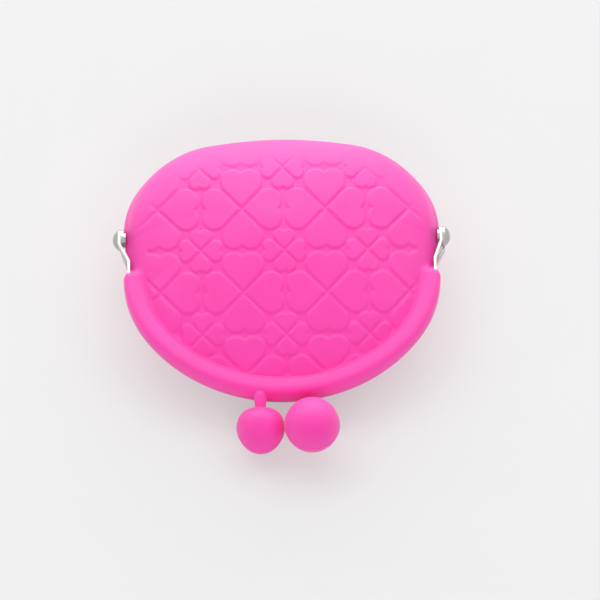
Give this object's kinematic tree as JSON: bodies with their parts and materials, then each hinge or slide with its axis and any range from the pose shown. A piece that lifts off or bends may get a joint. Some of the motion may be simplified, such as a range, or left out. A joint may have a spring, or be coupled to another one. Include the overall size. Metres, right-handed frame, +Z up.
{
  "type": "kiss-lock coin purse",
  "caption": "Soft moulded silicone coin purse with a domed heart-embossed pouch on a riveted steel clasp frame that swings open and snaps shut with crossing clasp balls.",
  "frame": {"origin": "on the table, in the flat of the back panel, straight below the hinge axis", "axes": "+X along the hinge axis to the right rivet, -Y towards the mouth and its clasp balls, +Z up through the front panel"},
  "size_m": [0.1058, 0.1092, 0.0391],
  "materials": {
    "silicone": "matt moulded silicone, hot pink",
    "frame_steel": "nickel-plated steel strip",
    "rivet_steel": "nickel-plated rivet",
    "ball_core": "plain moulded bead"
  },
  "bodies": {
    "back_half": {"pouch_body": "silicone", "front_flex_band": "silicone", "back_rim_sleeve": "silicone", "back_frame": "frame_steel", "left_rivet": "rivet_steel", "right_rivet": "rivet_steel", "back_clasp_post": "frame_steel", "back_ball_core": "ball_core", "back_ball_cover": "silicone"},
    "front_half": {"front_panel": "silicone", "front_rim_sleeve": "silicone", "front_frame": "frame_steel", "front_clasp_post": "frame_steel", "front_ball_core": "ball_core", "front_ball_cover": "silicone"}
  },
  "joints": [
    {"name": "mouth_hinge", "type": "hinge", "parent": "back_half", "child": "front_half", "pos_m": [0, 0, 0.0188], "axis": [-1, 0, 0], "range_deg": [0, 60], "deforming": ["front_flex_band"]}
  ]
}
